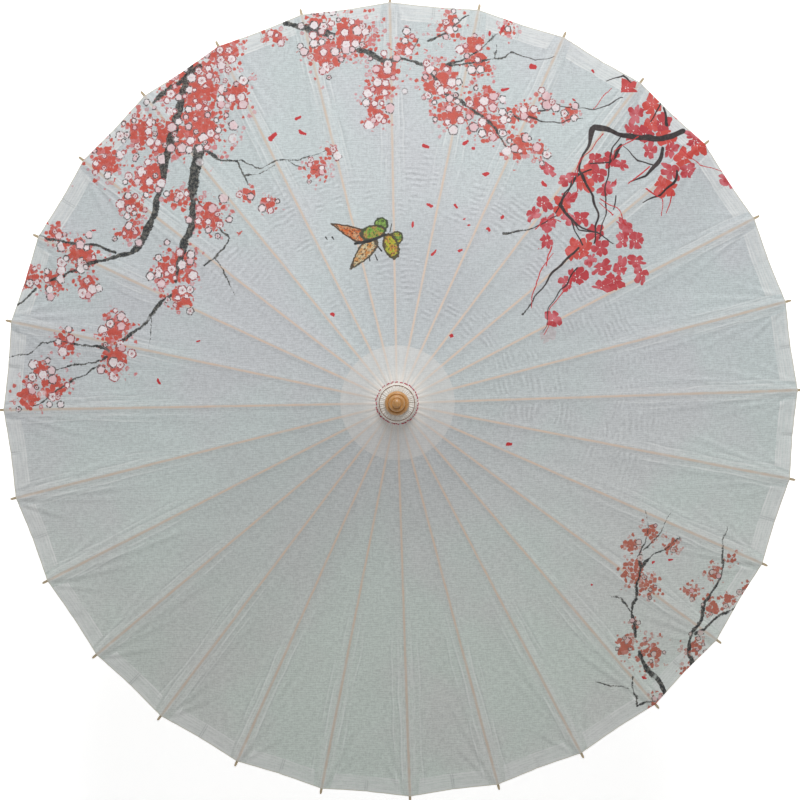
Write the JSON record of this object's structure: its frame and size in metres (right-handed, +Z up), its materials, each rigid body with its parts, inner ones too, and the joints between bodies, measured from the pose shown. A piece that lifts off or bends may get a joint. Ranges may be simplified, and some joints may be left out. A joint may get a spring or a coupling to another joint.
{
  "type": "oil paper umbrella",
  "caption": "Folding parasol with a painted oiled cloth canopy on split bamboo ribs and stretchers, a sliding runner, a spring catch, a turned finial and a straight grip.",
  "frame": {"origin": "centre of the hand grip's cylindrical wall, on the shaft's axis", "axes": "+Z up the shaft to the finial, +X along rib 01, +Y a quarter turn on"},
  "size_m": [0.8402, 0.8402, 0.5788],
  "materials": {
    "shaft_bamboo": "varnished",
    "runner_wood": "oiled",
    "catch_bamboo": "satin",
    "rib_bamboo": "satin",
    "stretcher_bamboo": "satin",
    "canopy_cloth": "oiled cloth"
  },
  "bodies": {
    "shaft": {"shaft": "shaft_bamboo", "canopy": "canopy_cloth"},
    "runner": {"runner": "runner_wood"},
    "catch": {"catch": "catch_bamboo"},
    "rib_01": {"rib_01": "rib_bamboo"},
    "stretcher_01": {"stretcher_01": "stretcher_bamboo"},
    "rib_02": {"rib_02": "rib_bamboo"},
    "stretcher_02": {"stretcher_02": "stretcher_bamboo"},
    "rib_03": {"rib_03": "rib_bamboo"},
    "stretcher_03": {"stretcher_03": "stretcher_bamboo"},
    "rib_04": {"rib_04": "rib_bamboo"},
    "stretcher_04": {"stretcher_04": "stretcher_bamboo"},
    "rib_05": {"rib_05": "rib_bamboo"},
    "stretcher_05": {"stretcher_05": "stretcher_bamboo"},
    "rib_06": {"rib_06": "rib_bamboo"},
    "stretcher_06": {"stretcher_06": "stretcher_bamboo"},
    "rib_07": {"rib_07": "rib_bamboo"},
    "stretcher_07": {"stretcher_07": "stretcher_bamboo"},
    "rib_08": {"rib_08": "rib_bamboo"},
    "stretcher_08": {"stretcher_08": "stretcher_bamboo"},
    "rib_09": {"rib_09": "rib_bamboo"},
    "stretcher_09": {"stretcher_09": "stretcher_bamboo"},
    "rib_10": {"rib_10": "rib_bamboo"},
    "stretcher_10": {"stretcher_10": "stretcher_bamboo"},
    "rib_11": {"rib_11": "rib_bamboo"},
    "stretcher_11": {"stretcher_11": "stretcher_bamboo"},
    "rib_12": {"rib_12": "rib_bamboo"},
    "stretcher_12": {"stretcher_12": "stretcher_bamboo"},
    "rib_13": {"rib_13": "rib_bamboo"},
    "stretcher_13": {"stretcher_13": "stretcher_bamboo"},
    "rib_14": {"rib_14": "rib_bamboo"},
    "stretcher_14": {"stretcher_14": "stretcher_bamboo"},
    "rib_15": {"rib_15": "rib_bamboo"},
    "stretcher_15": {"stretcher_15": "stretcher_bamboo"},
    "rib_16": {"rib_16": "rib_bamboo"},
    "stretcher_16": {"stretcher_16": "stretcher_bamboo"},
    "rib_17": {"rib_17": "rib_bamboo"},
    "stretcher_17": {"stretcher_17": "stretcher_bamboo"},
    "rib_18": {"rib_18": "rib_bamboo"},
    "stretcher_18": {"stretcher_18": "stretcher_bamboo"},
    "rib_19": {"rib_19": "rib_bamboo"},
    "stretcher_19": {"stretcher_19": "stretcher_bamboo"},
    "rib_20": {"rib_20": "rib_bamboo"},
    "stretcher_20": {"stretcher_20": "stretcher_bamboo"},
    "rib_21": {"rib_21": "rib_bamboo"},
    "stretcher_21": {"stretcher_21": "stretcher_bamboo"},
    "rib_22": {"rib_22": "rib_bamboo"},
    "stretcher_22": {"stretcher_22": "stretcher_bamboo"},
    "rib_23": {"rib_23": "rib_bamboo"},
    "stretcher_23": {"stretcher_23": "stretcher_bamboo"},
    "rib_24": {"rib_24": "rib_bamboo"},
    "stretcher_24": {"stretcher_24": "stretcher_bamboo"},
    "rib_25": {"rib_25": "rib_bamboo"},
    "stretcher_25": {"stretcher_25": "stretcher_bamboo"},
    "rib_26": {"rib_26": "rib_bamboo"},
    "stretcher_26": {"stretcher_26": "stretcher_bamboo"},
    "rib_27": {"rib_27": "rib_bamboo"},
    "stretcher_27": {"stretcher_27": "stretcher_bamboo"},
    "rib_28": {"rib_28": "rib_bamboo"},
    "stretcher_28": {"stretcher_28": "stretcher_bamboo"}
  },
  "joints": [
    {"name": "rib_01_hinge", "type": "hinge", "parent": "shaft", "child": "rib_01", "pos_m": [0.015, 0, 0.492], "axis": [0, 1, 0], "range_deg": [0, 67], "deforming": ["canopy", "catch"]},
    {"name": "stretcher_01_hinge", "type": "hinge", "parent": "rib_01", "child": "stretcher_01", "pos_m": [0.20294, 0, 0.4236], "axis": [0, 1, 0], "range_deg": [-134, 0]},
    {"name": "rib_02_hinge", "type": "hinge", "parent": "shaft", "child": "rib_02", "pos_m": [0.01462, 0.00334, 0.492], "axis": [-0.2225, 0.9749, 0], "range_deg": [0, 67]},
    {"name": "stretcher_02_hinge", "type": "hinge", "parent": "rib_02", "child": "stretcher_02", "pos_m": [0.19785, 0.04516, 0.4236], "axis": [-0.2225, 0.9749, 0], "range_deg": [-134, 0]},
    {"name": "rib_03_hinge", "type": "hinge", "parent": "shaft", "child": "rib_03", "pos_m": [0.01351, 0.00651, 0.492], "axis": [-0.4339, 0.901, 0], "range_deg": [0, 67]},
    {"name": "stretcher_03_hinge", "type": "hinge", "parent": "rib_03", "child": "stretcher_03", "pos_m": [0.18284, 0.08805, 0.4236], "axis": [-0.4339, 0.901, 0], "range_deg": [-134, 0]},
    {"name": "rib_04_hinge", "type": "hinge", "parent": "shaft", "child": "rib_04", "pos_m": [0.01173, 0.00935, 0.492], "axis": [-0.6235, 0.7818, 0], "range_deg": [0, 67]},
    {"name": "stretcher_04_hinge", "type": "hinge", "parent": "rib_04", "child": "stretcher_04", "pos_m": [0.15866, 0.12653, 0.4236], "axis": [-0.6235, 0.7818, 0], "range_deg": [-134, 0]},
    {"name": "rib_05_hinge", "type": "hinge", "parent": "shaft", "child": "rib_05", "pos_m": [0.00935, 0.01173, 0.492], "axis": [-0.7818, 0.6235, 0], "range_deg": [0, 67]},
    {"name": "stretcher_05_hinge", "type": "hinge", "parent": "rib_05", "child": "stretcher_05", "pos_m": [0.12653, 0.15866, 0.4236], "axis": [-0.7818, 0.6235, 0], "range_deg": [-134, 0]},
    {"name": "rib_06_hinge", "type": "hinge", "parent": "shaft", "child": "rib_06", "pos_m": [0.00651, 0.01351, 0.492], "axis": [-0.901, 0.4339, 0], "range_deg": [0, 67]},
    {"name": "stretcher_06_hinge", "type": "hinge", "parent": "rib_06", "child": "stretcher_06", "pos_m": [0.08805, 0.18284, 0.4236], "axis": [-0.901, 0.4339, 0], "range_deg": [-134, 0]},
    {"name": "rib_07_hinge", "type": "hinge", "parent": "shaft", "child": "rib_07", "pos_m": [0.00334, 0.01462, 0.492], "axis": [-0.9749, 0.2225, 0], "range_deg": [0, 67]},
    {"name": "stretcher_07_hinge", "type": "hinge", "parent": "rib_07", "child": "stretcher_07", "pos_m": [0.04516, 0.19785, 0.4236], "axis": [-0.9749, 0.2225, 0], "range_deg": [-134, 0]},
    {"name": "rib_08_hinge", "type": "hinge", "parent": "shaft", "child": "rib_08", "pos_m": [0, 0.015, 0.492], "axis": [-1, 0, 0], "range_deg": [0, 67]},
    {"name": "stretcher_08_hinge", "type": "hinge", "parent": "rib_08", "child": "stretcher_08", "pos_m": [0, 0.20294, 0.4236], "axis": [-1, 0, 0], "range_deg": [-134, 0]},
    {"name": "rib_09_hinge", "type": "hinge", "parent": "shaft", "child": "rib_09", "pos_m": [-0.00334, 0.01462, 0.492], "axis": [-0.9749, -0.2225, 0], "range_deg": [0, 67]},
    {"name": "stretcher_09_hinge", "type": "hinge", "parent": "rib_09", "child": "stretcher_09", "pos_m": [-0.04516, 0.19785, 0.4236], "axis": [-0.9749, -0.2225, 0], "range_deg": [-134, 0]},
    {"name": "rib_10_hinge", "type": "hinge", "parent": "shaft", "child": "rib_10", "pos_m": [-0.00651, 0.01351, 0.492], "axis": [-0.901, -0.4339, 0], "range_deg": [0, 67]},
    {"name": "stretcher_10_hinge", "type": "hinge", "parent": "rib_10", "child": "stretcher_10", "pos_m": [-0.08805, 0.18284, 0.4236], "axis": [-0.901, -0.4339, 0], "range_deg": [-134, 0]},
    {"name": "rib_11_hinge", "type": "hinge", "parent": "shaft", "child": "rib_11", "pos_m": [-0.00935, 0.01173, 0.492], "axis": [-0.7818, -0.6235, 0], "range_deg": [0, 67]},
    {"name": "stretcher_11_hinge", "type": "hinge", "parent": "rib_11", "child": "stretcher_11", "pos_m": [-0.12653, 0.15866, 0.4236], "axis": [-0.7818, -0.6235, 0], "range_deg": [-134, 0]},
    {"name": "rib_12_hinge", "type": "hinge", "parent": "shaft", "child": "rib_12", "pos_m": [-0.01173, 0.00935, 0.492], "axis": [-0.6235, -0.7818, 0], "range_deg": [0, 67]},
    {"name": "stretcher_12_hinge", "type": "hinge", "parent": "rib_12", "child": "stretcher_12", "pos_m": [-0.15866, 0.12653, 0.4236], "axis": [-0.6235, -0.7818, 0], "range_deg": [-134, 0]},
    {"name": "rib_13_hinge", "type": "hinge", "parent": "shaft", "child": "rib_13", "pos_m": [-0.01351, 0.00651, 0.492], "axis": [-0.4339, -0.901, 0], "range_deg": [0, 67]},
    {"name": "stretcher_13_hinge", "type": "hinge", "parent": "rib_13", "child": "stretcher_13", "pos_m": [-0.18284, 0.08805, 0.4236], "axis": [-0.4339, -0.901, 0], "range_deg": [-134, 0]},
    {"name": "rib_14_hinge", "type": "hinge", "parent": "shaft", "child": "rib_14", "pos_m": [-0.01462, 0.00334, 0.492], "axis": [-0.2225, -0.9749, 0], "range_deg": [0, 67]},
    {"name": "stretcher_14_hinge", "type": "hinge", "parent": "rib_14", "child": "stretcher_14", "pos_m": [-0.19785, 0.04516, 0.4236], "axis": [-0.2225, -0.9749, 0], "range_deg": [-134, 0]},
    {"name": "rib_15_hinge", "type": "hinge", "parent": "shaft", "child": "rib_15", "pos_m": [-0.015, 0, 0.492], "axis": [0, -1, 0], "range_deg": [0, 67]},
    {"name": "stretcher_15_hinge", "type": "hinge", "parent": "rib_15", "child": "stretcher_15", "pos_m": [-0.20294, 0, 0.4236], "axis": [0, -1, 0], "range_deg": [-134, 0]},
    {"name": "rib_16_hinge", "type": "hinge", "parent": "shaft", "child": "rib_16", "pos_m": [-0.01462, -0.00334, 0.492], "axis": [0.2225, -0.9749, 0], "range_deg": [0, 67]},
    {"name": "stretcher_16_hinge", "type": "hinge", "parent": "rib_16", "child": "stretcher_16", "pos_m": [-0.19785, -0.04516, 0.4236], "axis": [0.2225, -0.9749, 0], "range_deg": [-134, 0]},
    {"name": "rib_17_hinge", "type": "hinge", "parent": "shaft", "child": "rib_17", "pos_m": [-0.01351, -0.00651, 0.492], "axis": [0.4339, -0.901, 0], "range_deg": [0, 67]},
    {"name": "stretcher_17_hinge", "type": "hinge", "parent": "rib_17", "child": "stretcher_17", "pos_m": [-0.18284, -0.08805, 0.4236], "axis": [0.4339, -0.901, 0], "range_deg": [-134, 0]},
    {"name": "rib_18_hinge", "type": "hinge", "parent": "shaft", "child": "rib_18", "pos_m": [-0.01173, -0.00935, 0.492], "axis": [0.6235, -0.7818, 0], "range_deg": [0, 67]},
    {"name": "stretcher_18_hinge", "type": "hinge", "parent": "rib_18", "child": "stretcher_18", "pos_m": [-0.15866, -0.12653, 0.4236], "axis": [0.6235, -0.7818, 0], "range_deg": [-134, 0]},
    {"name": "rib_19_hinge", "type": "hinge", "parent": "shaft", "child": "rib_19", "pos_m": [-0.00935, -0.01173, 0.492], "axis": [0.7818, -0.6235, 0], "range_deg": [0, 67]},
    {"name": "stretcher_19_hinge", "type": "hinge", "parent": "rib_19", "child": "stretcher_19", "pos_m": [-0.12653, -0.15866, 0.4236], "axis": [0.7818, -0.6235, 0], "range_deg": [-134, 0]},
    {"name": "rib_20_hinge", "type": "hinge", "parent": "shaft", "child": "rib_20", "pos_m": [-0.00651, -0.01351, 0.492], "axis": [0.901, -0.4339, 0], "range_deg": [0, 67]},
    {"name": "stretcher_20_hinge", "type": "hinge", "parent": "rib_20", "child": "stretcher_20", "pos_m": [-0.08805, -0.18284, 0.4236], "axis": [0.901, -0.4339, 0], "range_deg": [-134, 0]},
    {"name": "rib_21_hinge", "type": "hinge", "parent": "shaft", "child": "rib_21", "pos_m": [-0.00334, -0.01462, 0.492], "axis": [0.9749, -0.2225, 0], "range_deg": [0, 67]},
    {"name": "stretcher_21_hinge", "type": "hinge", "parent": "rib_21", "child": "stretcher_21", "pos_m": [-0.04516, -0.19785, 0.4236], "axis": [0.9749, -0.2225, 0], "range_deg": [-134, 0]},
    {"name": "rib_22_hinge", "type": "hinge", "parent": "shaft", "child": "rib_22", "pos_m": [0, -0.015, 0.492], "axis": [1, 0, 0], "range_deg": [0, 67]},
    {"name": "stretcher_22_hinge", "type": "hinge", "parent": "rib_22", "child": "stretcher_22", "pos_m": [0, -0.20294, 0.4236], "axis": [1, 0, 0], "range_deg": [-134, 0]},
    {"name": "rib_23_hinge", "type": "hinge", "parent": "shaft", "child": "rib_23", "pos_m": [0.00334, -0.01462, 0.492], "axis": [0.9749, 0.2225, 0], "range_deg": [0, 67]},
    {"name": "stretcher_23_hinge", "type": "hinge", "parent": "rib_23", "child": "stretcher_23", "pos_m": [0.04516, -0.19785, 0.4236], "axis": [0.9749, 0.2225, 0], "range_deg": [-134, 0]},
    {"name": "rib_24_hinge", "type": "hinge", "parent": "shaft", "child": "rib_24", "pos_m": [0.00651, -0.01351, 0.492], "axis": [0.901, 0.4339, 0], "range_deg": [0, 67]},
    {"name": "stretcher_24_hinge", "type": "hinge", "parent": "rib_24", "child": "stretcher_24", "pos_m": [0.08805, -0.18284, 0.4236], "axis": [0.901, 0.4339, 0], "range_deg": [-134, 0]},
    {"name": "rib_25_hinge", "type": "hinge", "parent": "shaft", "child": "rib_25", "pos_m": [0.00935, -0.01173, 0.492], "axis": [0.7818, 0.6235, 0], "range_deg": [0, 67]},
    {"name": "stretcher_25_hinge", "type": "hinge", "parent": "rib_25", "child": "stretcher_25", "pos_m": [0.12653, -0.15866, 0.4236], "axis": [0.7818, 0.6235, 0], "range_deg": [-134, 0]},
    {"name": "rib_26_hinge", "type": "hinge", "parent": "shaft", "child": "rib_26", "pos_m": [0.01173, -0.00935, 0.492], "axis": [0.6235, 0.7818, 0], "range_deg": [0, 67]},
    {"name": "stretcher_26_hinge", "type": "hinge", "parent": "rib_26", "child": "stretcher_26", "pos_m": [0.15866, -0.12653, 0.4236], "axis": [0.6235, 0.7818, 0], "range_deg": [-134, 0]},
    {"name": "rib_27_hinge", "type": "hinge", "parent": "shaft", "child": "rib_27", "pos_m": [0.01351, -0.00651, 0.492], "axis": [0.4339, 0.901, 0], "range_deg": [0, 67]},
    {"name": "stretcher_27_hinge", "type": "hinge", "parent": "rib_27", "child": "stretcher_27", "pos_m": [0.18284, -0.08805, 0.4236], "axis": [0.4339, 0.901, 0], "range_deg": [-134, 0]},
    {"name": "rib_28_hinge", "type": "hinge", "parent": "shaft", "child": "rib_28", "pos_m": [0.01462, -0.00334, 0.492], "axis": [0.2225, 0.9749, 0], "range_deg": [0, 67]},
    {"name": "stretcher_28_hinge", "type": "hinge", "parent": "rib_28", "child": "stretcher_28", "pos_m": [0.19785, -0.04516, 0.4236], "axis": [0.2225, 0.9749, 0], "range_deg": [-134, 0]},
    {"name": "runner_hinge", "type": "hinge", "parent": "stretcher_01", "child": "runner", "pos_m": [0.015, 0, 0.35519], "axis": [0, 1, 0], "range_deg": [0, 67]},
    {"name": "catch_press", "type": "hinge", "parent": "shaft", "child": "catch", "pos_m": [0.0046, 0, 0.287], "axis": [0, -1, 0], "range_deg": [0, 6], "stiffness_Nm_per_rad": 0.5}
  ],
  "couplings": [
    {"joint": "stretcher_01_hinge", "follows": "rib_01_hinge", "ratio": -2},
    {"joint": "rib_02_hinge", "follows": "rib_01_hinge", "ratio": 1},
    {"joint": "stretcher_02_hinge", "follows": "rib_01_hinge", "ratio": -2},
    {"joint": "rib_03_hinge", "follows": "rib_01_hinge", "ratio": 1},
    {"joint": "stretcher_03_hinge", "follows": "rib_01_hinge", "ratio": -2},
    {"joint": "rib_04_hinge", "follows": "rib_01_hinge", "ratio": 1},
    {"joint": "stretcher_04_hinge", "follows": "rib_01_hinge", "ratio": -2},
    {"joint": "rib_05_hinge", "follows": "rib_01_hinge", "ratio": 1},
    {"joint": "stretcher_05_hinge", "follows": "rib_01_hinge", "ratio": -2},
    {"joint": "rib_06_hinge", "follows": "rib_01_hinge", "ratio": 1},
    {"joint": "stretcher_06_hinge", "follows": "rib_01_hinge", "ratio": -2},
    {"joint": "rib_07_hinge", "follows": "rib_01_hinge", "ratio": 1},
    {"joint": "stretcher_07_hinge", "follows": "rib_01_hinge", "ratio": -2},
    {"joint": "rib_08_hinge", "follows": "rib_01_hinge", "ratio": 1},
    {"joint": "stretcher_08_hinge", "follows": "rib_01_hinge", "ratio": -2},
    {"joint": "rib_09_hinge", "follows": "rib_01_hinge", "ratio": 1},
    {"joint": "stretcher_09_hinge", "follows": "rib_01_hinge", "ratio": -2},
    {"joint": "rib_10_hinge", "follows": "rib_01_hinge", "ratio": 1},
    {"joint": "stretcher_10_hinge", "follows": "rib_01_hinge", "ratio": -2},
    {"joint": "rib_11_hinge", "follows": "rib_01_hinge", "ratio": 1},
    {"joint": "stretcher_11_hinge", "follows": "rib_01_hinge", "ratio": -2},
    {"joint": "rib_12_hinge", "follows": "rib_01_hinge", "ratio": 1},
    {"joint": "stretcher_12_hinge", "follows": "rib_01_hinge", "ratio": -2},
    {"joint": "rib_13_hinge", "follows": "rib_01_hinge", "ratio": 1},
    {"joint": "stretcher_13_hinge", "follows": "rib_01_hinge", "ratio": -2},
    {"joint": "rib_14_hinge", "follows": "rib_01_hinge", "ratio": 1},
    {"joint": "stretcher_14_hinge", "follows": "rib_01_hinge", "ratio": -2},
    {"joint": "rib_15_hinge", "follows": "rib_01_hinge", "ratio": 1},
    {"joint": "stretcher_15_hinge", "follows": "rib_01_hinge", "ratio": -2},
    {"joint": "rib_16_hinge", "follows": "rib_01_hinge", "ratio": 1},
    {"joint": "stretcher_16_hinge", "follows": "rib_01_hinge", "ratio": -2},
    {"joint": "rib_17_hinge", "follows": "rib_01_hinge", "ratio": 1},
    {"joint": "stretcher_17_hinge", "follows": "rib_01_hinge", "ratio": -2},
    {"joint": "rib_18_hinge", "follows": "rib_01_hinge", "ratio": 1},
    {"joint": "stretcher_18_hinge", "follows": "rib_01_hinge", "ratio": -2},
    {"joint": "rib_19_hinge", "follows": "rib_01_hinge", "ratio": 1},
    {"joint": "stretcher_19_hinge", "follows": "rib_01_hinge", "ratio": -2},
    {"joint": "rib_20_hinge", "follows": "rib_01_hinge", "ratio": 1},
    {"joint": "stretcher_20_hinge", "follows": "rib_01_hinge", "ratio": -2},
    {"joint": "rib_21_hinge", "follows": "rib_01_hinge", "ratio": 1},
    {"joint": "stretcher_21_hinge", "follows": "rib_01_hinge", "ratio": -2},
    {"joint": "rib_22_hinge", "follows": "rib_01_hinge", "ratio": 1},
    {"joint": "stretcher_22_hinge", "follows": "rib_01_hinge", "ratio": -2},
    {"joint": "rib_23_hinge", "follows": "rib_01_hinge", "ratio": 1},
    {"joint": "stretcher_23_hinge", "follows": "rib_01_hinge", "ratio": -2},
    {"joint": "rib_24_hinge", "follows": "rib_01_hinge", "ratio": 1},
    {"joint": "stretcher_24_hinge", "follows": "rib_01_hinge", "ratio": -2},
    {"joint": "rib_25_hinge", "follows": "rib_01_hinge", "ratio": 1},
    {"joint": "stretcher_25_hinge", "follows": "rib_01_hinge", "ratio": -2},
    {"joint": "rib_26_hinge", "follows": "rib_01_hinge", "ratio": 1},
    {"joint": "stretcher_26_hinge", "follows": "rib_01_hinge", "ratio": -2},
    {"joint": "rib_27_hinge", "follows": "rib_01_hinge", "ratio": 1},
    {"joint": "stretcher_27_hinge", "follows": "rib_01_hinge", "ratio": -2},
    {"joint": "rib_28_hinge", "follows": "rib_01_hinge", "ratio": 1},
    {"joint": "stretcher_28_hinge", "follows": "rib_01_hinge", "ratio": -2},
    {"joint": "runner_hinge", "follows": "rib_01_hinge", "ratio": 1}
  ]
}
